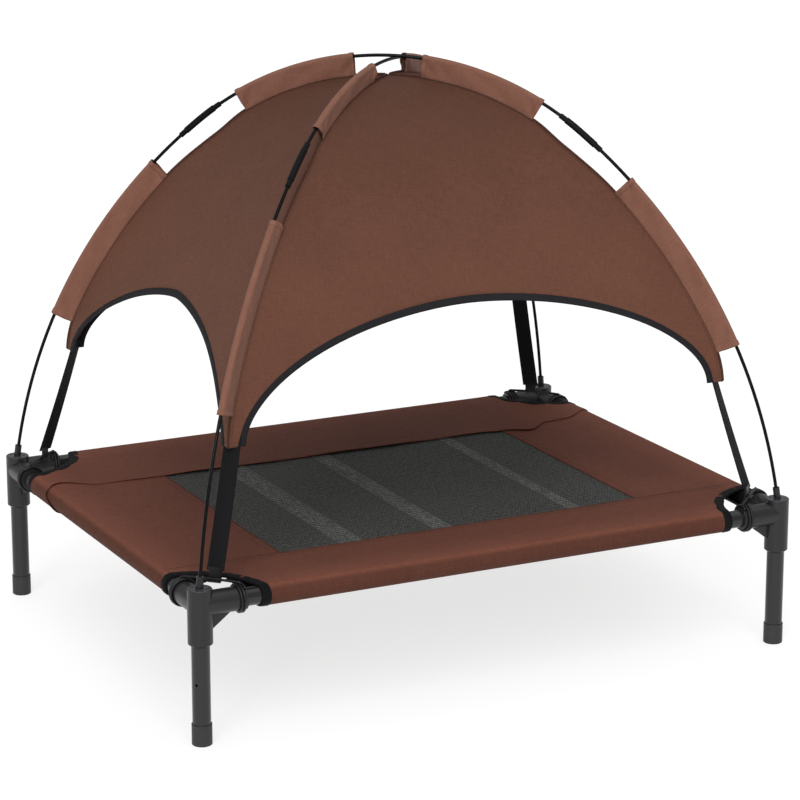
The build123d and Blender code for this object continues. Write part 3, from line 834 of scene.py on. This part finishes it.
def deck_cloth(name, across, along, lift, material, node, extra=None, mark=None, moved=None):
    """One sheet of the deck on a grid over its flat cut, without what the round corner cuts remove."""
    xs, ys = np.meshgrid(across, along)
    if moved:
        xs, ys = moved(xs, ys)
    height = lift + creases(xs, ys) * (np.abs(xs) < POST_X) * (np.abs(ys) < POST_Y)
    if extra:
        height = height + extra(xs, ys)
    points = deck_point(xs, ys, height)
    kept = np.ones(xs.shape, bool)
    for sx, sy in CORNERS.values():
        kept &= np.hypot(*(points[..., k] - corner_centre(sx, sy)[k] for k in range(2))) > CORNER_R + 0.0012
    rows, cols = xs.shape
    kept = kept.ravel()
    faces = [f for f in grid_faces(rows, cols) if all(kept[i] for i in f)]
    used = sorted({i for f in faces for i in f})
    number = {old: new for new, old in enumerate(used)}
    faces = [tuple(number[i] for i in f) for f in faces]
    cut = flat_places(xs, ys, mark(xs, ys) if mark else 0.0).reshape(-1, 3)[used]
    made = make(name, points.reshape(-1, 3)[used], faces, material, "frame", cut, 0.0007)
    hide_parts(node)
    return made


def deck_seam(path_xy, lift, book):
    """Stitches along a line on the deck, given on the flat cut."""
    path_xy = np.asarray(path_xy, float)
    count = 200
    t = np.linspace(0, len(path_xy) - 1, count)
    xs = np.interp(t, range(len(path_xy)), path_xy[:, 0])
    ys = np.interp(t, range(len(path_xy)), path_xy[:, 1])
    path = deck_point(xs, ys, lift + 0.00035 + creases(xs, ys))
    book.seam(path, np.tile((0, 0, 1), (count, 1)))


def corner_tape(corner):
    """Black tape folded over one concave edge, on round both rails and back to their seams."""
    sx, sy = CORNERS[corner]
    centre = abs(corner_centre(1, 1))
    top, under = 0.0024, -0.0011
    section = [(TAPE_W, top - 0.0006), (0.008, top), (0.003, top), (0.0, top - 0.0004),
               (-0.0011, (top + under) / 2),
               (0.0, under + 0.0003), (0.003, under), (0.008, under), (TAPE_W, under + 0.0005)]
    runs = np.concatenate([np.linspace(FULL_RUN, WRAP_RUN, 8)[:-1], np.linspace(WRAP_RUN, 0, 24)])
    flat = 40
    rings, cuts = [], []
    for rho, lift in section:
        size = CORNER_R + rho
        out, up = wrap(runs, lift)
        y = POST_Y + out
        x = centre[0] - np.sqrt(size ** 2 - (centre[1] - y) ** 2)
        first = np.stack([x, y, RAIL_Z + up], axis=-1)
        x2 = POST_X + out
        y2 = centre[1] - np.sqrt(size ** 2 - (centre[0] - x2) ** 2)
        last = np.stack([x2, y2, RAIL_Z + up], axis=-1)[::-1]
        start = math.atan2(centre[1] - first[-1][1], centre[0] - first[-1][0])
        end = math.atan2(centre[1] - last[0][1], centre[0] - last[0][0])
        turn = np.linspace(start, end, flat)[1:-1]
        x3 = centre[0] - size * np.cos(turn)
        y3 = centre[1] - size * np.sin(turn)
        ripple = 0.0002 * np.sin(turn * CORNER_R * 2 * math.pi / 0.012)
        between = np.stack([x3, y3, np.full(len(turn), RAIL_Z + DECK_R + lift) + ripple], axis=-1)
        ring = np.concatenate([first, between, last]) * np.array([sx, sy, 1])
        rings.append(ring)
        cuts.append(flat_places(rho, np.linspace(0, TAPE_RUN, len(ring))))
    faces = ribbon_faces(len(section), len(rings[0]))
    if sx * sy < 0:
        faces = [f[::-1] for f in faces]
    made = make(f"tape_corner_{corner}", np.array(rings), faces, TAPE, "frame", np.array(cuts))
    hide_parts(f"corner_tape_{corner}")
    return rings


BANDS = ((-0.140, 0.032), (-0.024, 0.028), (0.148, 0.020))    # centre and width of each support band


def backed(xs, ys):
    """1 where a support band lies under the mesh, 0 elsewhere, soft at the bands' edges."""
    share = np.zeros_like(xs)
    for place, width in BANDS:
        share = np.maximum(share, np.clip((width / 2 - np.abs(xs - place)) / 0.0025 + 0.5, 0, 1))
    return share


FLAP_EDGE = ((-0.44, 0.127), (-0.392, 0.130), (-0.378, 0.153), (-0.356, 0.166), (-0.313, 0.143),
             (-0.20, 0.141),
             (0.20, 0.139), (0.232, 0.133), (0.262, 0.119), (0.296, 0.143), (0.325, 0.146), (0.378, 0.176),
             (0.44, 0.184))    # the rear border's loose hem, as places across and along the deck


def eased(x, table):
    """A curve through a table's points, level at each of them."""
    xs, ys = np.array(table).T
    spot = np.clip(np.searchsorted(xs, x) - 1, 0, len(xs) - 2)
    t = np.clip((x - xs[spot]) / (xs[spot + 1] - xs[spot]), 0, 1)
    return ys[spot] + (ys[spot + 1] - ys[spot]) * t * t * (3 - 2 * t)


def flap_place(xs, ys):
    """Where a point of the rear border lies once its hem wanders off the straight."""
    share = np.clip((HEM_STILL - ys) / (HEM_STILL - MESH_HIGH.y), 0, 1)
    return xs, ys + (eased(xs, FLAP_EDGE) - MESH_HIGH.y) * share


def flap(xs, ys):
    """The loose hem of the rear border: it lifts and falls a little along its free edge."""
    past = ys - eased(xs, FLAP_EDGE)
    near = np.exp(-np.clip(past, 0, None) / 0.014)
    wave = 0.0005 + 0.0005 * np.sin(xs * 29 + 0.6) + 0.0003 * np.sin(xs * 71 + 2)
    return near * wave + 0.0005 * (past < 0.009)


def make_deck():
    """The mesh and its four cloth borders. Returns the cloth pieces by side."""
    front, rear = MESH_LOW.y, MESH_HIGH.y
    left = MESH_HIGH.x
    lap = 0.008
    made = {}
    made["mesh"] = deck_cloth(
        "cloth_deck_mesh", grid_lines(-left - lap, left + lap, POST_X, 0.0025),
        grid_lines(front - lap, rear + 5 * lap, POST_Y), 0.0, MESH, "deck_mesh", None, backed,
    )
    far_x, far_y = POST_X + FULL_RUN, POST_Y + FULL_RUN
    for name, low, high in (("left", -far_x, -left), ("right", left, far_x)):
        made[name] = deck_cloth(
            f"cloth_deck_{name}", grid_lines(low, high, POST_X), np.linspace(STRIP_FRONT, STRIP_REAR, 112),
            0.0008, DECK, f"deck_{name}",
        )
    wide = grid_lines(-POST_X, POST_X, POST_X)
    made["front"] = deck_cloth(
        "cloth_deck_front", wide, grid_lines(-far_y, front, POST_Y), 0.0015,
        DECK, "deck_front",
    )
    made["rear"] = deck_cloth(
        "cloth_deck_rear", grid_lines(-far_x, far_x, POST_X), grid_lines(rear, far_y, POST_Y), 0.0016,
        DECK, "deck_rear", flap, None, flap_place,
    )
    return made


def support_bands():
    """Webbing bands sewn under the mesh from the front border to the rear one."""
    front, rear = MESH_LOW.y - 0.012, MESH_HIGH.y + 0.012
    for number, (place, width) in enumerate(BANDS, 1):
        ys = np.linspace(front, rear, 90)
        xs = np.full(len(ys), place)
        path = deck_point(xs, ys, -0.0011)
        widths = np.tile((1.0, 0, 0), (len(ys), 1))
        ups = np.tile((0, 0, 1.0), (len(ys), 1))
        section = rounded_section(width, 0.0009)
        points = swept(path, widths, ups, section)
        faces = [f[::-1] for f in bar_faces(len(ys), len(section))]
        cut = flat_places(points[..., 0], points[..., 1])
        made = make(f"band_support_{number}", points, faces, BAND, "frame", cut)
        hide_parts("support_bands")


# ---- straps, elastic ----
STRAP_W, STRAP_T = 0.020, 0.0014
STRAP_TURN = {"front_left": 8, "front_right": 17, "rear_left": 26, "rear_right": 9}    # degrees, at the hook
HEM_REACH = 0.396
LINK_REACH = 0.046
HOOK_OUT = 0.004
HOOK_SKIN = 0.0022
SHANK = 0.013
CORD_R = 0.0015


def throat():
    """Reach and height of the hooks' throats, where the stretched elastic crosses them."""
    spread = (POST_X + POST_Y) / DIAGONAL
    return DIAGONAL - LINK_REACH / spread, LINK_Z


def strap(corner, black):
    """Webbing from inside the canopy's tip down to its hook, turning a little on the way."""
    sx, sy = CORNERS[corner]
    reach, height = throat()
    rows = 60
    t = np.linspace(0, 1, rows)
    top = np.array([HEM_REACH - 0.0125, HEM_Z + 0.012])
    foot = np.array([reach - HOOK_OUT + HOOK_SKIN / 2, height + SHANK - 0.004])
    flat = top + (foot - top) * t[:, None]
    flat[:, 0] -= 0.0006 * np.sin(math.pi * t)
    path = diagonal(corner, flat)
    along = np.array([sx * POST_X, sy * POST_Y]) / DIAGONAL
    turn = math.copysign(math.radians(STRAP_TURN[corner]), sx * sy) * (0.45 + 0.55 * t)
    base = np.array([-along[1], along[0]])
    widths = np.stack([
        base[0] * np.cos(turn) - base[1] * np.sin(turn),
        base[0] * np.sin(turn) + base[1] * np.cos(turn),
        np.zeros(rows),
    ], axis=-1)
    normals = unit(np.cross(widths, np.gradient(path, axis=0)))
    section = rounded_section(STRAP_W, STRAP_T)
    points = swept(path, widths, normals, section)
    faces = bar_faces(rows, len(section))
    cut = flat_places([a for a, _ in section], t[:, None] * np.linalg.norm(foot - top))
    made = make(f"webbing_strap_{corner}", points, faces, STRAP, "canopy", cut)
    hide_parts(f"strap_{corner}")
    for face in (1, -1):
        for place in (-0.008, 0.008):
            line = path + widths * place + normals * face * STRAP_T / 2
            black.seam(line[-8:], normals[-8:] * face)
        for row in (-2, -7):
            ends = path[row] + np.outer(np.linspace(-0.008, 0.008, 8), widths[row])
            black.seam(ends + normals[row] * face * STRAP_T / 2, np.tile(normals[row] * face, (8, 1)))
    return made


def elastic_loops(corner):
    """Elastic wound a little over twice round the mouth of each arm of a corner."""
    sx, sy = CORNERS[corner]
    turns = np.linspace(-0.15, 2.1, 110)
    ring = ARM_R + CORD_R
    reach = 0.0425 + 0.0034 * turns
    angle = 2 * math.pi * turns
    points, faces = [], []
    for axis in ("x", "y"):
        out = ring * np.sin(angle)
        up = RAIL_Z + ring * np.cos(angle)
        if axis == "x":
            path = np.stack([sx * (POST_X - reach), sy * (POST_Y + out), up], axis=-1)
        else:
            path = np.stack([sx * (POST_X + out), sy * (POST_Y - reach), up], axis=-1)
        made_points, made_faces = tube(path, CORD_R)
        base = len(points)
        points.extend(made_points)
        faces.extend(tuple(base + i for i in f) for f in made_faces)
    made = make(f"cord_elastic_loops_{corner}", points, faces, ELASTIC, "frame")
    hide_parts(f"elastic_loops_{corner}")
    return made


def elastic_link(corner, axis):
    """Half of a corner's stretched elastic: from the loops on one arm in to the hook's throat."""
    sx, sy = CORNERS[corner]
    side = LINK_REACH + 0.0005
    start = np.array([POST_X - side, POST_Y, RAIL_Z + ARM_R + 2.6 * CORD_R])
    if axis == "y":
        start = np.array([POST_X, POST_Y - side, start[2]])
    centre = np.array([POST_X - LINK_REACH / 2, POST_Y - LINK_REACH / 2, LINK_Z])
    t = np.linspace(0, 1, 26)[:, None]
    path = start + (centre - start) * t
    path[:, 2] = start[2] + (centre[2] - start[2]) * np.sin(math.pi / 2 * t[:, 0])
    away = unit(start - centre)
    path = np.concatenate([[path[0] + away * 0.0022 - (0, 0, 0.0021)], path])
    path = path * np.array([sx, sy, 1])
    points, faces = tube(path, CORD_R)
    made = make(f"cord_elastic_link_{corner}_{axis}", points, faces, ELASTIC, None)
    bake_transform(made)
    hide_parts("elastic_links")
    return made


# ---- put it together ----
brown_stitches, black_stitches = Stitches(), Stitches()
panels = {}
for side in SIDES:
    panels[side] = panel(side)
    binding(side)
    panel_stitches(side, brown_stitches, black_stitches)
sleeves = []
for corner in CORNERS:
    ridge_seam(corner)
    for name, stretch in (("lower", LOWER_SLEEVE), ("upper", UPPER_SLEEVE)):
        sleeves.append((sleeve(corner, name, stretch), corner, stretch))
        sleeve_stitches(corner, stretch, brown_stitches)
    strap(corner, black_stitches)
    elastic_loops(corner)
    elastic_link(corner, "x")
    elastic_link(corner, "y")
brown_stitches.finish("stitches_canopy_brown", BROWN_THREAD, "canopy", "canopy_fabric")
black_stitches.finish("stitches_canopy_black", BLACK_THREAD, "canopy", "webbing")

deck = make_deck()
support_bands()
deck_stitches = Stitches()
FRONT, REAR, SIDE = MESH_LOW.y, MESH_HIGH.y, MESH_HIGH.x
for place in (FRONT - 0.003, FRONT - 0.0095):
    deck_seam([(-0.345, place), (0.345, place)], 0.0015, deck_stitches)
for way in (-1, 1):
    for place in (SIDE + 0.003, SIDE + 0.0095):
        deck_seam([(way * place, FRONT + 0.001), (way * place, REAR - 0.001)], 0.0008, deck_stitches)
deck_stitches.finish("stitches_deck", BROWN_THREAD, "frame", "deck_fabric")
tape_stitches = Stitches()
for corner in CORNERS:
    row = corner_tape(corner)[1]
    tape_stitches.seam(row[6:-6], np.tile((0, 0, 1.0), (len(row) - 12, 1)))
tape_stitches.finish("stitches_corner_tape", BLACK_THREAD, "frame", "tape")

# ---- each sheet's flat cut is measured; the sizes are not kept ----
def declare(piece):
    width, length, area = flat_cut(piece)


for side, piece in panels.items():
    declare(piece)
for piece, corner, stretch in sleeves:
    declare(piece)
for side, piece in deck.items():
    declare(piece)

# ---- materials of the CAD nodes that stay ----
FINISHES = {
    "connector_": PLASTIC, "leg_": STEEL, "rail_": STEEL, "foot_cap_": CAP, "pole_rod_": ROD,
    "pole_ferrules": FERRULE, "pole_tips": TIP, "strap_hooks": HOOK,
}
for node, obj in NODES.items():
    for start, material in FINISHES.items():
        if node.startswith(start):
            obj.data.materials.clear()
            obj.data.materials.append(material)

# ---- floor, light and camera ----
floor_mesh = bpy.data.meshes.new("floor")
FLOOR = 9.0
floor_mesh.from_pydata([(-FLOOR, -FLOOR, 0), (FLOOR, -FLOOR, 0), (FLOOR, FLOOR, 0), (-FLOOR, FLOOR, 0)], [],
                       [(0, 1, 2, 3)])
floor = bpy.data.objects.new("floor", floor_mesh)
bpy.context.scene.collection.objects.link(floor)
paint = Surface("floor_paint", 0.6, specular=0.2)
paint.shader.inputs["Emission Color"].default_value = (1, 1, 1, 1)
paint.shader.inputs["Emission Strength"].default_value = 0.72
paint.tint((0.3, 0.3, 0.3), paint.ramp(paint.noise(paint.place(), 0.5), 0.3, 0.7, 0.99, 1.01))
floor_mesh.materials.append(paint.material)

world = bpy.data.worlds.new("studio")
world.use_nodes = True
world.node_tree.nodes["Background"].inputs["Color"].default_value = (1, 1, 1, 1)
world.node_tree.nodes["Background"].inputs["Strength"].default_value = 0.45
bpy.context.scene.world = world


def soft_light(name, toward, power, spread):
    """A distant soft light that comes from a direction; spread is its width in degrees."""
    lamp = bpy.data.lights.new(name, "SUN")
    lamp.energy = power
    lamp.angle = math.radians(spread)
    made = bpy.data.objects.new(name, lamp)
    bpy.context.scene.collection.objects.link(made)
    made.location = toward
    made.rotation_euler = (
        math.atan2(math.hypot(toward[0], toward[1]), toward[2]),
        0,
        math.atan2(toward[1], toward[0]) + math.pi / 2,
    )


soft_light("key", (-0.55, -1.0, 1.15), 2.15, 50)
soft_light("top", (0.5, 0.1, 2.0), 0.5, 60)
soft_light("edge", (-0.9, -1.0, 0.55), 0.35, 9)

lens = bpy.data.cameras.new("camera")
lens.lens = 140.94
lens.sensor_width = 36.0
lens.clip_start = 0.1
lens.clip_end = 60
camera = bpy.data.objects.new("camera", lens)
camera.location = (-1.5998, -3.2210, 1.2542)
camera.rotation_euler = (math.radians(90 - 15.27), 0, math.radians(-26.63))
bpy.context.scene.collection.objects.link(camera)
bpy.context.scene.camera = camera
bpy.context.scene.view_settings.view_transform = "Standard"
